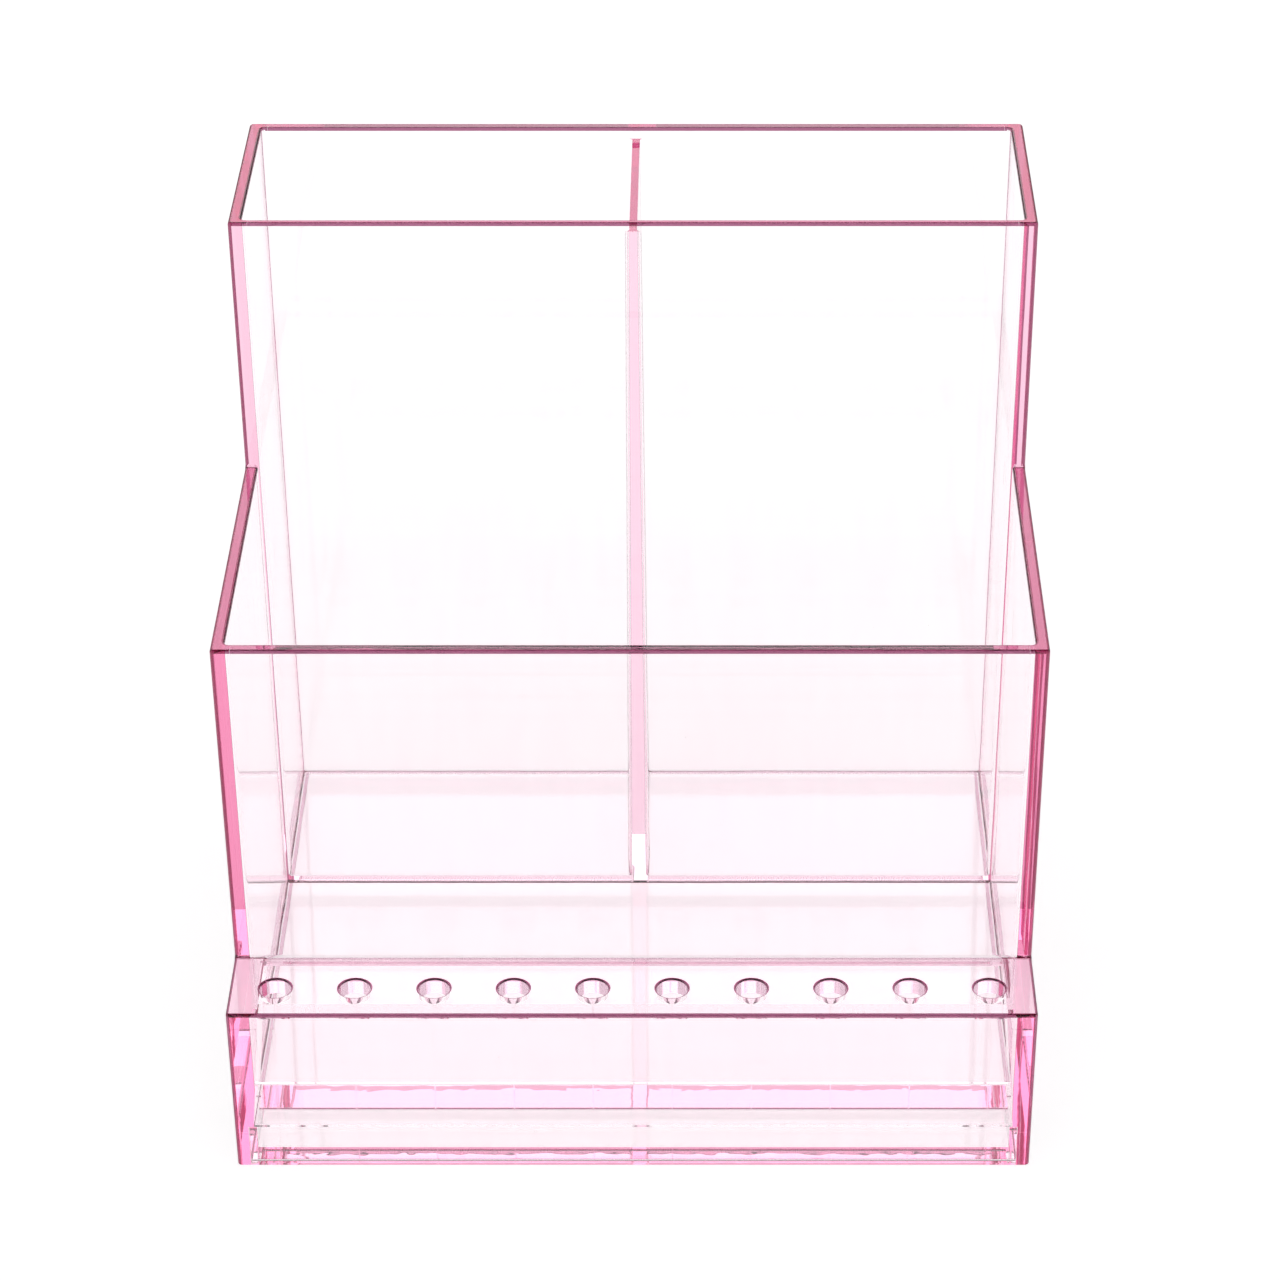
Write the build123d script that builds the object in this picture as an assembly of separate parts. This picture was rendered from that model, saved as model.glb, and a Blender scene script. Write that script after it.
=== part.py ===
from build123d import *
from build123d.topology import SkipClean
import os
from math import radians, tan

# Outside sizes, all measured at the rims
rim_width = 103.0
overall_depth = 89.7
total_height = 104.8
step_height = 69.7
rack_height = 23.8
rear_depth = 31.0
rack_depth = 12.4

# Walls, measured at the rims, and the floor
side_wall = 1.7
back_wall_thickness = 1.7
middle_wall_thickness = 1.2
front_wall_thickness = 1.7
divider_thickness = 1.0
divider_drop = 1.5
floor_thickness = 4.4
wall_draft = 0.5
inner_wall_draft = 0.25

# Rack for the drill bits
plate_thickness = 2.2
rack_wall_top = 3.7
rack_rear_rib = 0.45
rack_foot_wall = 1.6
hollow_draft = 4.5
hollow_rear_draft = 1.8
hole_count = 10
hole_pitch = 10.0
hole_diameter = 4.0
hole_setback = 5.75

# Cover under the rack, held in a recess of the rack's foot
recess_height = 5.4
recess_rear_step = 0.6
cover_base = 1.7
cover_lip = 0.9
cover_clearance = 0.08

# Rounded edges
rim_round = 0.4
hole_round = 0.25
corner_round = 0.6
inner_corner_round = 0.6
floor_round = 0.4
cover_round = 0.2

# The bonded joint between two panels, and how far it lies from the nearest rounded corner
bond_gap = 0.02
joint_margin = 0.2

# Room that a cutting block reaches past the body
reach = 10.0

# How near a point counts as on a plane, and how upright a direction counts as steep
tolerance = 0.001
steep_share = 0.99

slope = tan(radians(wall_draft))
inner_slope = tan(radians(inner_wall_draft))
ceiling = rack_height - plate_thickness
rim_back = overall_depth / 2


# Outer and inner faces of the walls, as their place at height z
def x_outer(z):
    return rim_width / 2 - (total_height - z) * slope


def x_inner(z):
    return x_outer(z) - side_wall


def y_back(z):
    return rim_back - (total_height - z) * slope


def y_back_inner(z):
    return y_back(z) - back_wall_thickness


def y_middle_front(z):
    return rim_back - rear_depth - (total_height - z) * inner_slope


def y_middle_rear(z):
    return rim_back - rear_depth + middle_wall_thickness + (total_height - z) * inner_slope


def y_rack_front(z):
    return -rim_back + (rack_height - z) * slope


def y_front(z):
    return -rim_back + rack_depth + (rack_height - z) * slope


def y_front_inner(z):
    return y_front(z) + front_wall_thickness


def x_divider(z):
    return divider_thickness / 2 + (total_height - divider_drop - z) * inner_slope


# Faces of the hollow under the rack and of the recess in its foot
def x_hollow(z):
    return x_outer(ceiling) - rack_wall_top + (ceiling - z) * tan(radians(hollow_draft))


def y_hollow_front(z):
    return y_rack_front(ceiling) + rack_wall_top - (ceiling - z) * tan(radians(hollow_draft))


def y_hollow_rear(z):
    return y_front(ceiling) - rack_rear_rib + (ceiling - z) * tan(radians(hollow_rear_draft))


# Faces where the panels of the compartments meet, clear of the rounded inner corners
joint_inset = inner_corner_round + joint_margin
floor_joint = floor_thickness + floor_round + joint_margin


def x_side_joint(z):
    return x_inner(z) - joint_inset


def y_back_joint(z):
    return y_back_inner(z) - joint_inset


def y_front_joint(z):
    return y_front_inner(z) + joint_inset


def y_middle_joint(z):
    return y_middle_rear(z) + joint_inset


x_recess = x_outer(0) - rack_foot_wall
y_recess_front = y_rack_front(0) + rack_foot_wall
y_recess_rear = y_hollow_rear(recess_height) + recess_rear_step

# Planes where the rack's panels meet each other and the front wall
x_rack_cut = x_hollow(ceiling)
y_rack_cut = y_hollow_rear(ceiling)


def at(value):
    return value if callable(value) else (lambda z: value)


def block(z0, z1, x0, x1, y0, y1):
    """Six-sided block; each side stands at a fixed place or follows a drafted face."""
    x0, x1, y0, y1 = at(x0), at(x1), at(y0), at(y1)
    low = [(x0(z0), y0(z0), z0), (x1(z0), y0(z0), z0), (x1(z0), y1(z0), z0), (x0(z0), y1(z0), z0)]
    high = [(x0(z1), y0(z1), z1), (x1(z1), y0(z1), z1), (x1(z1), y1(z1), z1), (x0(z1), y1(z1), z1)]
    rings = [low[::-1], high]
    for i in range(4):
        j = (i + 1) % 4
        rings.append([low[i], low[j], high[j], high[i]])
    return Solid(Shell([Face(Wire.make_polygon(ring)) for ring in rings]))


def both_sides(z0, z1, x1, y0, y1):
    """A block that is mirrored about the middle of the box."""
    right = at(x1)
    return block(z0, z1, lambda z: -right(z), right, y0, y1)


def inset(face, amount):
    return lambda z: at(face)(z) + amount


def hole_places():
    first = -(hole_count - 1) * hole_pitch / 2
    y = y_rack_front(rack_height) + hole_setback
    return [(first + i * hole_pitch, y) for i in range(hole_count)]


def outer_body():
    tall = both_sides(0, total_height, x_outer, y_middle_front, y_back)
    middle = both_sides(0, step_height, x_outer, y_front, y_middle_front)
    rack = both_sides(0, rack_height, x_outer, y_rack_front, y_front)
    body = (tall + middle + rack).clean()
    return fillet(upright_edges(body), corner_round)


def steep(direction):
    """True for a direction that is nearly upright, as drafted corners are."""
    return abs(direction.Z) > steep_share


def upright_edges(shape):
    return [edge for edge in shape.edges() if steep(edge.tangent_at(0.5))]


def rounded_cavity(corners):
    """The compartment's form with these upright corners rounded, and a rounded edge round its floor."""
    cavity = fillet(corners, inner_corner_round)
    return fillet(cavity.faces().sort_by(Axis.Z)[0].edges(), floor_round)


def compartments():
    over = total_height + reach
    right = block(floor_thickness, over, x_divider, x_inner, y_middle_rear, y_back_inner)
    right = rounded_cavity(upright_edges(right))
    front = both_sides(floor_thickness, over, x_inner, y_front_inner, y_middle_front)
    front = rounded_cavity([edge for edge in upright_edges(front) if edge.center().Y < 0])
    x_over = inset(x_divider, joint_inset)
    above_divider = both_sides(total_height - divider_drop, over, x_over, y_middle_rear, y_back_inner)
    return [mirror(right, Plane.YZ), right, front, above_divider]


def rack_hollow():
    hollow = both_sides(0, ceiling, x_hollow, y_hollow_front, y_hollow_rear)
    recess = both_sides(-reach, recess_height, x_recess, y_recess_front, y_recess_rear)
    return [hollow, recess]


def bit_holes():
    tool = Cylinder(hole_diameter / 2, plate_thickness + 2 * reach)
    return [Pos(x, y, rack_height) * tool for x, y in hole_places()]


def rim_edges(body):
    """Edges of the rims and of the rack's top, without those that meet a standing wall."""
    picked = []
    for height in (total_height, step_height, rack_height):
        for face in body.faces():
            if abs(face.center().Z - height) < tolerance and steep(face.normal_at()):
                picked += [e for e in face.edges() if open_edge(e, height)]
    return picked


def open_edge(edge, height):
    y = edge.center().Y
    standing = {step_height: y_middle_front, rack_height: y_front}
    return height not in standing or abs(y - standing[height](height)) > tolerance


def box_form():
    body = outer_body()
    for cut in compartments() + rack_hollow() + bit_holes():
        body = body - cut
    body = fillet([edge for edge in rim_edges(body) if not edge.is_closed], rim_round)
    return fillet([edge for edge in rim_edges(body) if edge.is_closed], hole_round)


# The panels of the box, each cut out of its form where it meets the next one
def side_wall_region():
    return block(-reach, total_height + reach, x_side_joint, rim_width, y_rack_cut, overall_depth)


def back_wall_region():
    x_end = inset(x_side_joint, -bond_gap)
    return both_sides(-reach, total_height + reach, x_end, y_back_joint, overall_depth)


def front_wall_region():
    x_end = inset(x_side_joint, -bond_gap)
    return both_sides(-reach, total_height + reach, x_end, y_rack_cut, y_front_joint)


def middle_wall_region():
    x_end = inset(x_side_joint, -bond_gap)
    y_low = inset(y_middle_front, -joint_inset)
    return both_sides(floor_joint + bond_gap, total_height + reach, x_end, y_low, y_middle_joint)


def divider_region():
    x_end = inset(x_divider, joint_inset)
    y_low = inset(y_middle_joint, bond_gap)
    y_high = inset(y_back_joint, -bond_gap)
    return both_sides(floor_joint + bond_gap, total_height + reach, x_end, y_low, y_high)


def floor_region():
    x_end = inset(x_side_joint, -bond_gap)
    y_low = inset(y_front_joint, bond_gap)
    y_high = inset(y_back_joint, -bond_gap)
    return both_sides(-reach, floor_joint, x_end, y_low, y_high)


def rack_end_region():
    y_end = y_rack_cut - bond_gap
    return block(-reach, ceiling - bond_gap, x_rack_cut, rim_width, -overall_depth, y_end)


def rack_plate_region():
    return both_sides(ceiling, rack_height + reach, rim_width, -overall_depth, y_rack_cut - bond_gap)


def rack_front_region():
    x_end = x_rack_cut - bond_gap
    y_end = y_rack_cut - bond_gap
    return both_sides(-reach, ceiling - bond_gap, x_end, -overall_depth, y_end)


def rack_cover():
    """Shallow tray that closes the rack's hollow from below."""
    x_out = x_recess - cover_clearance
    y_low = y_recess_front + cover_clearance
    y_high = y_recess_rear - cover_clearance
    top = recess_height - bond_gap
    tray = both_sides(0, top, x_out, y_low, y_high)
    inside = both_sides(cover_base, top + reach, x_out - cover_lip, y_low + cover_lip, y_high - cover_lip)
    tray = tray - inside
    return fillet(tray.faces().sort_by(Axis.Z)[0].edges(), cover_round).solid()


def largest_solid(shape):
    return shape.solids().sort_by(SortBy.VOLUME)[-1]


def panel(form, region):
    """The part of the form in a region, where strips that face other panels stay faces of their own."""
    with SkipClean():
        return largest_solid(form & region)


def write(name, solid):
    solid.label = name
    export_step(solid, f"parts/{name}.step")


def build():
    os.makedirs("parts", exist_ok=True)
    form = box_form()
    side = panel(form, side_wall_region())
    end = panel(form, rack_end_region())
    write("right_side_wall", side)
    write("left_side_wall", mirror(side, Plane.YZ))
    write("back_wall", panel(form, back_wall_region()))
    write("middle_wall", panel(form, middle_wall_region()))
    write("front_wall", panel(form, front_wall_region()))
    write("divider", panel(form, divider_region()))
    write("floor_panel", panel(form, floor_region()))
    write("bit_rack_plate", panel(form, rack_plate_region()))
    write("bit_rack_front", panel(form, rack_front_region()))
    write("bit_rack_right_end", end)
    write("bit_rack_left_end", mirror(end, Plane.YZ))
    write("bit_rack_cover", rack_cover())


build()
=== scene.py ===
from itertools import combinations
from math import inf, radians

import bmesh
import bpy
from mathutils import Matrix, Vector
from mathutils.bvhtree import BVHTree


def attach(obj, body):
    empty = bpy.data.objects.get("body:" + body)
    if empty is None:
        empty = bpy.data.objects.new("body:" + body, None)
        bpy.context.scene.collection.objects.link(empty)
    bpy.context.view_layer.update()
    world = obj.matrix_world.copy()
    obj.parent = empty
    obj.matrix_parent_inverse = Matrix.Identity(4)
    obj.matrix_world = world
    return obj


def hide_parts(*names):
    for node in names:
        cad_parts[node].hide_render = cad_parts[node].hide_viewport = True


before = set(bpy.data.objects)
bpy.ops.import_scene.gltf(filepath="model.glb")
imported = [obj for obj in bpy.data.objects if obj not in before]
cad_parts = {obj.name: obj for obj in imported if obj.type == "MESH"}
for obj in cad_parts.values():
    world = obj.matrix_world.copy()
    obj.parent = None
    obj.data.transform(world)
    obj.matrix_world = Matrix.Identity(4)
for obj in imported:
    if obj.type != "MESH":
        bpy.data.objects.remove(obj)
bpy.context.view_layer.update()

bl_info = {
    "name": "Nail Drill Storage Box",
    "version": (1, 0, 0),
    "blender": (4, 5, 0),
    "location": "View3D > Sidebar > Storage Box",
    "description": "Clear pink stepped organiser with a rack for drill bits",
    "category": "Add Mesh",
}

MM = 0.001

WALLS = ("back_wall", "left_side_wall", "right_side_wall", "middle_wall", "divider", "front_wall")
RACK = ("bit_rack_plate", "bit_rack_front", "bit_rack_left_end", "bit_rack_right_end")
MOULDED = WALLS + ("floor_panel",) + RACK
WELDED = ("bit_rack_front",)

# A face with another panel's face this near in front of it is a moulded-through joint
JOINT_REACH = 0.05 * MM
JOINT_ATTRIBUTE = "moulded_joint"

# Corners whose normals differ by less than this belong to a flat face
LEAST_TURN = radians(2)
# A face that bends outwards round a smaller radius than this is part of a rounded edge
EDGE_RADIUS = 1.0 * MM
# A face that bends inwards round a radius between these is the wall of a hole
HOLE_RADII = (1.5 * MM, 3.0 * MM)
# How nearly upwards a flat face points that is a rim
RIM_SHARE = 0.99

# How much painted shade a rounded edge, a hole's wall and a wall's flat rim show, darkening them in place
# of the darker light seen through them
EDGE_PAINTED_SHADE = 1.0
HOLE_PAINTED_SHADE = 0.25
RIM_PAINTED_SHADE = 0.28
PAINTED_SHADE_ATTRIBUTE = "painted_shade_amount"

# Noise levels between which a flow streak fades in
STREAK_FADE = (0.4, 0.7)
# Share of a speck's radius and of a weld line's half width that is fully marked
SPECK_CORE = 0.7
WELD_CORE = 0.4
# How rough a weld line is, as a share of a speck's roughness
WELD_SHARE = 0.5

# Sockets of the Mix node that carry its amount, its two colours and its result
MIX_AMOUNT = 0
MIX_FIRST = 6
MIX_LAST = 7
MIX_RESULT = 2
WHITE = (1, 1, 1, 1)

# Share of the plastic's density in the pieces that look paler than the side walls: painted light, the one
# plastic made lighter piece by piece in place of the brighter light seen through these pieces
PAINTED_PALENESS_SHARES = {
    "back_wall": 0.7, "middle_wall": 0.7, "front_wall": 0.7, "divider": 0.8, "floor_panel": 0.6,
    "bit_rack_plate": 0.45, "bit_rack_front": 0.6,
    "bit_rack_left_end": 0.7, "bit_rack_right_end": 0.7,
}


class PlasticSettings(bpy.types.PropertyGroup):
    tint: bpy.props.FloatVectorProperty(
        name="Tint", description="Colour of the light that the plastic takes up least",
        subtype="COLOR", size=3, min=0.0, max=1.0, default=(0.96, 0.47, 0.70))
    density: bpy.props.FloatProperty(
        name="Density", description="How strongly the plastic takes up light per metre", default=30.0)
    # Painted shade: the dark colour painted on rounded edges, hole walls and flat wall rims, in place of
    # the darker light seen through them
    painted_shade_tint: bpy.props.FloatVectorProperty(
        name="Edge Tint", description="Colour of light that crosses a rounded edge",
        subtype="COLOR", size=3, min=0.0, max=1.0, default=(0.15, 0.02, 0.06))
    streak_tint: bpy.props.FloatVectorProperty(
        name="Streak Tint", description="Colour of light that crosses the deepest flow streak",
        subtype="COLOR", size=3, min=0.0, max=1.0, default=(1.0, 0.985, 0.99))
    ior: bpy.props.FloatProperty(
        name="Refraction", description="Index of refraction of the plastic", default=1.49)
    ripple_size: bpy.props.FloatProperty(
        name="Ripple Size", description="Width of the soft waves that moulding leaves",
        default=9 * MM, unit="LENGTH")
    ripple_height: bpy.props.FloatProperty(
        name="Ripple Height", description="Height of the soft waves that moulding leaves",
        default=0.006 * MM, unit="LENGTH")
    streak_size: bpy.props.FloatProperty(
        name="Streak Size", description="Width of the flow streaks", default=1.4 * MM, unit="LENGTH")
    streak_height: bpy.props.FloatProperty(
        name="Streak Height", description="Height of the flow streaks",
        default=0.002 * MM, unit="LENGTH")
    streak_stretch: bpy.props.FloatProperty(
        name="Streak Stretch", description="How much taller than wide the flow streaks are",
        default=7.0)
    speck_spacing: bpy.props.FloatProperty(
        name="Speck Spacing", description="Distance between the small specks of wear",
        default=6 * MM, unit="LENGTH")
    speck_radius: bpy.props.FloatProperty(
        name="Speck Radius", description="Radius of a small speck of wear",
        default=0.09 * MM, unit="LENGTH")
    speck_roughness: bpy.props.FloatProperty(
        name="Speck Roughness", description="Roughness inside a speck of wear", default=0.4)
    roughness: bpy.props.FloatProperty(
        name="Roughness", description="Highest roughness of the polished faces", default=0.015)
    weld_width: bpy.props.FloatProperty(
        name="Weld Width", description="Width of the weld line below each hole",
        default=0.12 * MM, unit="LENGTH")
    weld_pitch: bpy.props.FloatProperty(
        name="Weld Pitch", description="Distance between the weld lines, as between the holes",
        default=10 * MM, unit="LENGTH")


class StageSettings(bpy.types.PropertyGroup):
    floor_width: bpy.props.FloatProperty(
        name="Floor Width", description="Width of the pale floor", default=6.0, unit="LENGTH")
    floor_drop: bpy.props.FloatProperty(
        name="Floor Drop", description="How far the floor lies below the box's underside",
        default=0.1 * MM, unit="LENGTH")
    floor_colour: bpy.props.FloatVectorProperty(
        name="Floor Colour", description="Colour of the pale floor", subtype="COLOR", size=3,
        default=(0.9, 0.9, 0.9))
    floor_glow: bpy.props.FloatProperty(
        name="Floor Glow", description="White that the floor shows by itself to the eye", default=0.62)
    lamp_power: bpy.props.FloatProperty(
        name="Lamp Power", description="Power of the soft lamp behind the box", default=3.5, unit="POWER")
    lamp_width: bpy.props.FloatProperty(
        name="Lamp Width", description="Width of the soft lamp behind the box", default=1.2, unit="LENGTH")
    lamp_place: bpy.props.FloatVectorProperty(
        name="Lamp Place", description="Where the soft lamp hangs", subtype="TRANSLATION", size=3,
        default=(-0.2, 1.5, 0.95))
    light_bounces: bpy.props.IntProperty(
        name="Light Bounces", description="How often light may turn inside the clear walls", default=48)
    room_light: bpy.props.FloatProperty(
        name="Room Light", description="Strength of the even light from all around", default=0.45)
    backdrop_start: bpy.props.FloatProperty(
        name="Backdrop Start", description="Height of a direction where the white backdrop begins",
        default=0.15)
    backdrop_full: bpy.props.FloatProperty(
        name="Backdrop Full", description="Height of a direction from which the backdrop is all white",
        default=0.3)
    ceiling_start: bpy.props.FloatProperty(
        name="Ceiling Start", description="Height of a direction where the backdrop begins to darken",
        default=0.58)
    ceiling_end: bpy.props.FloatProperty(
        name="Ceiling End", description="Height of a direction from which the ceiling is dark",
        default=0.72)
    dim_light: bpy.props.FloatProperty(
        name="Dim Light", description="Strength of the dark parts of the room in gloss and clear plastic",
        default=0.03)


class CameraSettings(bpy.types.PropertyGroup):
    place: bpy.props.FloatVectorProperty(
        name="Place", description="Where the camera stands", subtype="TRANSLATION", size=3,
        default=(0.00896, -0.46323, 0.33158))
    tilt: bpy.props.FloatProperty(
        name="Tilt", description="How far the camera looks up from straight down",
        default=radians(58.834), subtype="ANGLE")
    lens: bpy.props.FloatProperty(
        name="Lens", description="Focal length in millimetres", default=116.55)
    shift: bpy.props.FloatProperty(
        name="Shift", description="Sideways shift of the lens", default=-0.0496)


class Socket:
    """An output of a shader node. Python's operators add the Math nodes."""

    def __init__(self, nodes, output):
        self.nodes = nodes
        self.output = output

    def maths(self, operation, *values):
        inputs = dict(enumerate(values))
        return self.nodes.add("ShaderNodeMath", {"operation": operation}, inputs)

    def __add__(self, other):
        return self.maths("ADD", self, other)

    def __sub__(self, other):
        return self.maths("SUBTRACT", self, other)

    def __rsub__(self, other):
        return self.maths("SUBTRACT", other, self)

    def __mul__(self, other):
        return self.maths("MULTIPLY", self, other)

    def either(self, other):
        return self.maths("MAXIMUM", self, other)

    def folded(self, width):
        """Goes up to the width and back down again, over and over."""
        return self.maths("PINGPONG", self, width)


class Nodes:
    """The node tree of a material or a world, with one method that adds any node."""

    def __init__(self, tree):
        self.tree = tree
        tree.nodes.clear()

    def add(self, kind, settings, inputs, output=0):
        node = self.tree.nodes.new(kind)
        for name, value in settings.items():
            setattr(node, name, value)
        for name, value in inputs.items():
            if isinstance(value, Socket):
                self.tree.links.new(value.output, node.inputs[name])
            else:
                node.inputs[name].default_value = value
        return Socket(self, node.outputs[output])

    def add_output(self, surface, volume=None):
        world = any(node.type == "BACKGROUND" for node in self.tree.nodes)
        output = self.tree.nodes.new("ShaderNodeOutputWorld" if world else "ShaderNodeOutputMaterial")
        self.tree.links.new(surface.output, output.inputs["Surface"])
        if volume is not None:
            self.tree.links.new(volume.output, output.inputs["Volume"])


def rgba(colour):
    return (*colour, 1.0)


def new_material(name):
    material = bpy.data.materials.new(name)
    material.use_nodes = True
    return material, Nodes(material.node_tree)


def fade(nodes, value, start, end, first, last):
    """A soft change from the first amount to the last one while the value goes from start to end."""
    return nodes.add("ShaderNodeMapRange", {"interpolation_type": "SMOOTHSTEP"}, {
        "Value": value, "From Min": start, "From Max": end, "To Min": first, "To Max": last,
    })


def blend(nodes, mode, amount, first, last):
    """The first colour, changed by an amount of the last one."""
    return nodes.add("ShaderNodeMix", {"data_type": "RGBA", "blend_type": mode}, {
        MIX_AMOUNT: amount, MIX_FIRST: first, MIX_LAST: last,
    }, MIX_RESULT)


def soft_noise(nodes, place, size, stretch):
    """Noise with lumps of a size, drawn out along the height."""
    drawn = nodes.add("ShaderNodeMapping", {}, {"Vector": place, "Scale": (1.0, 1.0, 1 / stretch)})
    return nodes.add("ShaderNodeTexNoise", {}, {"Vector": drawn, "Scale": 1 / size, "Detail": 0.0})


def wear_specks(nodes, place, plastic):
    """One inside small round specks, and none between them."""
    distance = nodes.add("ShaderNodeTexVoronoi", {}, {
        "Vector": place, "Scale": 1 / plastic.speck_spacing,
    }, "Distance")
    edge = plastic.speck_radius / plastic.speck_spacing
    return fade(nodes, distance, SPECK_CORE * edge, edge, 1.0, 0.0)


def weld_lines(nodes, place, plastic):
    """One on thin upright lines, which lie below the middles of the holes."""
    across = nodes.add("ShaderNodeSeparateXYZ", {}, {"Vector": place}, "X")
    off = plastic.weld_pitch / 2 - across.folded(plastic.weld_pitch / 2)
    edge = plastic.weld_width / 2
    return fade(nodes, off, WELD_CORE * edge, edge, 1.0, 0.0)


def plastic_colour(nodes, streak, plastic):
    """White with faint flow streaks, and darker with painted shade on rounded edges, hole walls and flat
    wall rims.
    """
    amount = fade(nodes, streak, *STREAK_FADE, 0.0, 1.0)
    streaked = blend(nodes, "MIX", amount, WHITE, rgba(plastic.streak_tint))
    # Painted shade: the marked amount darkens the colour towards the painted shade tint
    shade = nodes.add("ShaderNodeAttribute", {"attribute_name": PAINTED_SHADE_ATTRIBUTE}, {}, "Fac")
    shaded = nodes.add("ShaderNodeGamma", {}, {"Color": rgba(plastic.painted_shade_tint), "Gamma": shade})
    return blend(nodes, "MULTIPLY", 1.0, streaked, shaded)


def clear_plastic(name, plastic, share, welded):
    """Clear tinted plastic that bends light, and takes up more of it the deeper the light goes."""
    material, nodes = new_material(name)
    place = nodes.add("ShaderNodeTexCoord", {}, {}, "Object")
    ripple = soft_noise(nodes, place, plastic.ripple_size, 1.0)
    streak = soft_noise(nodes, place, plastic.streak_size, plastic.streak_stretch)
    relief = plastic.streak_height / plastic.ripple_height
    height = ripple + streak * relief
    marks = wear_specks(nodes, place, plastic)
    if welded:
        welds = weld_lines(nodes, place, plastic)
        height = height - welds * relief
        marks = marks.either(welds * WELD_SHARE)
    normal = nodes.add("ShaderNodeBump", {}, {
        "Strength": 1.0, "Distance": plastic.ripple_height, "Height": height,
    })
    glass = nodes.add("ShaderNodeBsdfPrincipled", {}, {
        "Base Color": plastic_colour(nodes, streak, plastic), "Transmission Weight": 1.0,
        "IOR": plastic.ior, "Normal": normal,
        "Roughness": ripple * plastic.roughness + marks * plastic.speck_roughness,
    })
    joint = nodes.add("ShaderNodeAttribute", {"attribute_name": JOINT_ATTRIBUTE}, {}, "Fac")
    lamp = nodes.add("ShaderNodeLightPath", {}, {}, "Is Shadow Ray")
    clear = nodes.add("ShaderNodeBsdfTransparent", {}, {"Color": WHITE})
    surface = nodes.add("ShaderNodeMixShader", {}, {0: joint.either(lamp), 1: glass, 2: clear})
    # The piece's share lowers the density, a painted paleness that stands in for brighter light through
    # the piece
    inside = nodes.add("ShaderNodeVolumeAbsorption", {}, {
        "Color": rgba(plastic.tint), "Density": share * plastic.density,
    })
    nodes.add_output(surface, inside)
    return material


def faces_for_rays(name):
    """The faces of a CAD node, ready to be hit by rays."""
    mesh = bmesh.new()
    mesh.from_mesh(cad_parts[name].data)
    tree = BVHTree.FromBMesh(mesh)
    mesh.free()
    return tree


def mark_joints(data, name):
    """Marks the faces that lie against another moulded panel."""
    marks = data.attributes.new(JOINT_ATTRIBUTE, "FLOAT", "FACE").data
    if name not in MOULDED:
        return
    others = [faces_for_rays(other) for other in MOULDED if other != name]
    for face, mark in zip(data.polygons, marks):
        hits = [other.ray_cast(face.center, face.normal, JOINT_REACH) for other in others]
        mark.value = any(hit[0] is not None and hit[1].dot(face.normal) < 0 for hit in hits)


def bend_radius(data, face):
    """The smallest radius that a face bends round, below zero where it bends inwards."""
    corners = [(data.vertices[data.loops[i].vertex_index].co, data.corner_normals[i].vector)
               for i in face.loop_indices]
    radii = [inf]
    for (place, normal), (other_place, other_normal) in combinations(corners, 2):
        apart = other_place - place
        turn = other_normal.angle(normal)
        if turn > LEAST_TURN:
            inwards = apart.dot(other_normal - normal) < 0
            radii.append((-1 if inwards else 1) * apart.length / turn)
    return min(radii, key=abs)


# Painted shade: rounded edges, hole walls and flat wall rims get a darker colour
def painted_shade_amount(data, face, has_rim):
    """How much painted shade a face shows."""
    radius = bend_radius(data, face)
    if 0 < radius < EDGE_RADIUS:
        return EDGE_PAINTED_SHADE
    if HOLE_RADII[0] < -radius < HOLE_RADII[1]:
        return HOLE_PAINTED_SHADE
    return RIM_PAINTED_SHADE if has_rim and face.normal.z > RIM_SHARE else 0.0


def mark_painted_shades(data, name):
    """Marks how much painted shade each face shows."""
    marks = data.attributes.new(PAINTED_SHADE_ATTRIBUTE, "FLOAT", "FACE").data
    for face, mark in zip(data.polygons, marks):
        mark.value = painted_shade_amount(data, face, name in WALLS)


def moulded_piece(name, plastic):
    """A piece with a CAD node's shape and its true rounded edges, which stands for that node."""
    material = clear_plastic(name + "_plastic", plastic, PAINTED_PALENESS_SHARES.get(name, 1.0), name in WELDED)
    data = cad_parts[name].data.copy()
    data.name = name + "_clear"
    mark_joints(data, name)
    mark_painted_shades(data, name)
    data.materials.clear()
    data.materials.append(material)
    piece = bpy.data.objects.new(name + "_clear", data)
    bpy.context.scene.collection.objects.link(piece)
    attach(piece, "root")
    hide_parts(name)


class STORAGEBOX_OT_walls(bpy.types.Operator):
    """Makes the six upright panels of the box"""
    bl_idname = "storage_box.walls"
    bl_label = "Walls"

    def execute(self, context):
        for name in WALLS:
            moulded_piece(name, context.scene.box_plastic)
        return {"FINISHED"}


class STORAGEBOX_OT_floor_panel(bpy.types.Operator):
    """Makes the floor of the compartments"""
    bl_idname = "storage_box.floor_panel"
    bl_label = "Floor Panel"

    def execute(self, context):
        moulded_piece("floor_panel", context.scene.box_plastic)
        return {"FINISHED"}


class STORAGEBOX_OT_bit_rack(bpy.types.Operator):
    """Makes the rack for the drill bits: its plate, front wall and ends"""
    bl_idname = "storage_box.bit_rack"
    bl_label = "Bit Rack"

    def execute(self, context):
        for name in RACK:
            moulded_piece(name, context.scene.box_plastic)
        return {"FINISHED"}


class STORAGEBOX_OT_rack_cover(bpy.types.Operator):
    """Makes the cover under the rack"""
    bl_idname = "storage_box.rack_cover"
    bl_label = "Rack Cover"

    def execute(self, context):
        moulded_piece("bit_rack_cover", context.scene.box_plastic)
        return {"FINISHED"}


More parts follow.
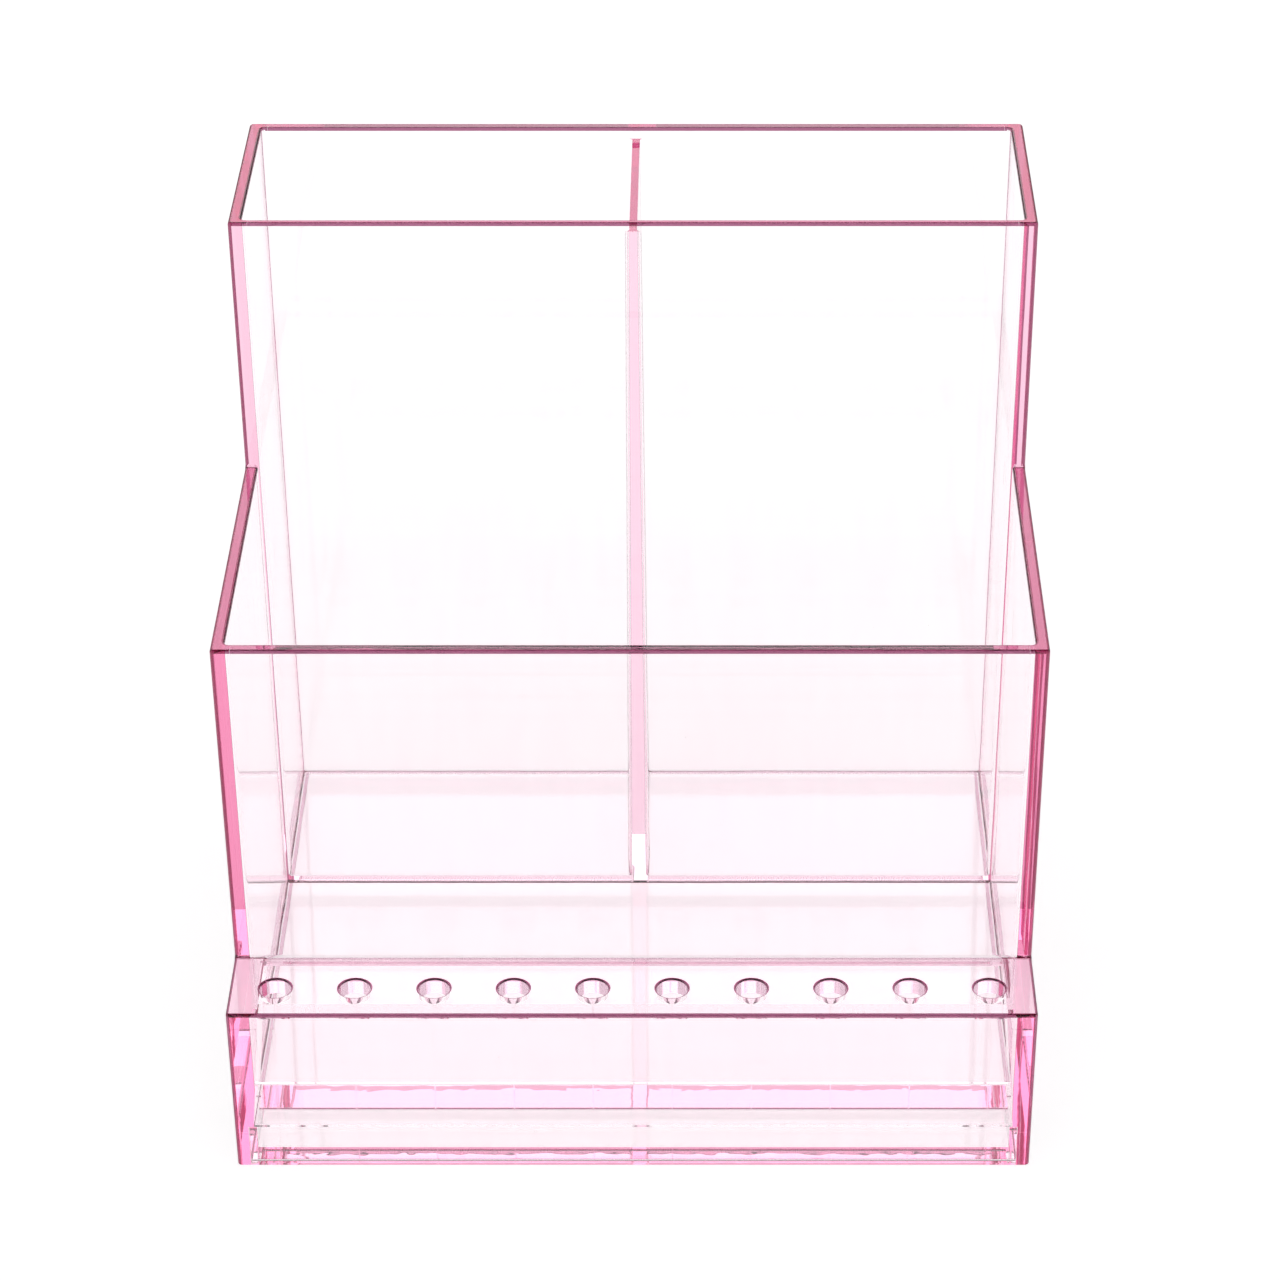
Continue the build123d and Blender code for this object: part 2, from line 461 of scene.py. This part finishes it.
def make_floor(stage):
    """A pale floor that is white to the eye and keeps the box's soft shadow."""
    mesh = bmesh.new()
    bmesh.ops.create_grid(mesh, x_segments=8, y_segments=8, size=stage.floor_width / 2)
    bmesh.ops.translate(mesh, verts=mesh.verts, vec=(0, 0, -stage.floor_drop))
    data = bpy.data.meshes.new("floor")
    mesh.to_mesh(data)
    mesh.free()
    material, nodes = new_material("pale_floor")
    diffuse = nodes.add("ShaderNodeBsdfDiffuse", {}, {"Color": rgba(stage.floor_colour)})
    glow = nodes.add("ShaderNodeEmission", {}, {
        "Color": WHITE, "Strength": seen(nodes) * stage.floor_glow,
    })
    nodes.add_output(nodes.add("ShaderNodeAddShader", {}, {0: diffuse, 1: glow}))
    data.materials.append(material)
    floor = bpy.data.objects.new("floor", data)
    bpy.context.scene.collection.objects.link(floor)


def seen(nodes):
    """One for rays from the eye, and for what gloss and clear plastic show."""
    rays = [nodes.add("ShaderNodeLightPath", {}, {}, f"Is {kind} Ray")
            for kind in ("Camera", "Glossy", "Transmission")]
    return rays[0].either(rays[1]).either(rays[2])


def make_room(scene, stage):
    """Even light from all around, and a white backdrop that is dark at its foot and at the ceiling."""
    world = bpy.data.worlds.new("room")
    world.use_nodes = True
    nodes = Nodes(world.node_tree)
    direction = nodes.add("ShaderNodeTexCoord", {}, {}, "Generated")
    height = nodes.add("ShaderNodeSeparateXYZ", {}, {"Vector": direction}, "Z")
    backdrop = fade(nodes, height, stage.backdrop_start, stage.backdrop_full, stage.dim_light, 1.0)
    ceiling = fade(nodes, height, stage.ceiling_start, stage.ceiling_end, 1.0, stage.dim_light)
    camera = nodes.add("ShaderNodeLightPath", {}, {}, "Is Camera Ray")
    shown = camera + (1 - camera) * (backdrop * ceiling)
    looks = seen(nodes)
    strength = looks * shown + (1 - looks) * stage.room_light
    nodes.add_output(nodes.add("ShaderNodeBackground", {}, {"Color": WHITE, "Strength": strength}))
    scene.world = world


def make_lamp(stage):
    """One large soft lamp, high behind the box."""
    data = bpy.data.lights.new("softbox", "AREA")
    data.shape = "DISK"
    data.size = stage.lamp_width
    data.energy = stage.lamp_power
    lamp = bpy.data.objects.new("softbox", data)
    lamp.location = stage.lamp_place
    lamp.rotation_euler = (-Vector(stage.lamp_place)).to_track_quat("-Z", "Y").to_euler()
    bpy.context.scene.collection.objects.link(lamp)


def make_camera(scene, settings):
    data = bpy.data.cameras.new("camera")
    data.sensor_width = 36.0
    data.lens = settings.lens
    data.shift_x = settings.shift
    data.clip_start = 0.01
    camera = bpy.data.objects.new("camera", data)
    camera.location = settings.place
    camera.rotation_euler = (settings.tilt, 0, 0)
    scene.collection.objects.link(camera)
    scene.camera = camera


class STORAGEBOX_OT_stage(bpy.types.Operator):
    """Makes the pale floor, the soft light and the camera"""
    bl_idname = "storage_box.stage"
    bl_label = "Stage"

    def execute(self, context):
        scene = context.scene
        scene.view_settings.view_transform = "Standard"
        for kind in ("max", "glossy", "transmission", "transparent_max"):
            setattr(scene.cycles, kind + "_bounces", scene.box_stage.light_bounces)
        make_floor(scene.box_stage)
        make_room(scene, scene.box_stage)
        make_lamp(scene.box_stage)
        make_camera(scene, scene.box_camera)
        return {"FINISHED"}


def main():
    register()
    bpy.ops.storage_box.stage()
    bpy.ops.storage_box.walls()
    bpy.ops.storage_box.floor_panel()
    bpy.ops.storage_box.bit_rack()
    bpy.ops.storage_box.rack_cover()


class STORAGEBOX_PT_panel(bpy.types.Panel):
    """Lists the steps that make the storage box"""
    bl_idname = "STORAGEBOX_PT_panel"
    bl_label = "Storage Box"
    bl_space_type = "VIEW_3D"
    bl_region_type = "UI"
    bl_category = "Storage Box"

    def draw(self, context):
        for operator in OPERATORS:
            self.layout.operator(operator.bl_idname)


OPERATORS = (
    STORAGEBOX_OT_stage,
    STORAGEBOX_OT_walls,
    STORAGEBOX_OT_floor_panel,
    STORAGEBOX_OT_bit_rack,
    STORAGEBOX_OT_rack_cover,
)
SETTINGS = {
    "box_plastic": PlasticSettings,
    "box_stage": StageSettings,
    "box_camera": CameraSettings,
}


def register():
    for group in SETTINGS.values():
        bpy.utils.register_class(group)
    for operator in OPERATORS:
        bpy.utils.register_class(operator)
    bpy.utils.register_class(STORAGEBOX_PT_panel)
    for name, group in SETTINGS.items():
        setattr(bpy.types.Scene, name, bpy.props.PointerProperty(type=group))


def unregister():
    for name in SETTINGS:
        delattr(bpy.types.Scene, name)
    bpy.utils.unregister_class(STORAGEBOX_PT_panel)
    for made in reversed(tuple(SETTINGS.values()) + OPERATORS):
        bpy.utils.unregister_class(made)


if __name__ == "__main__":
    main()
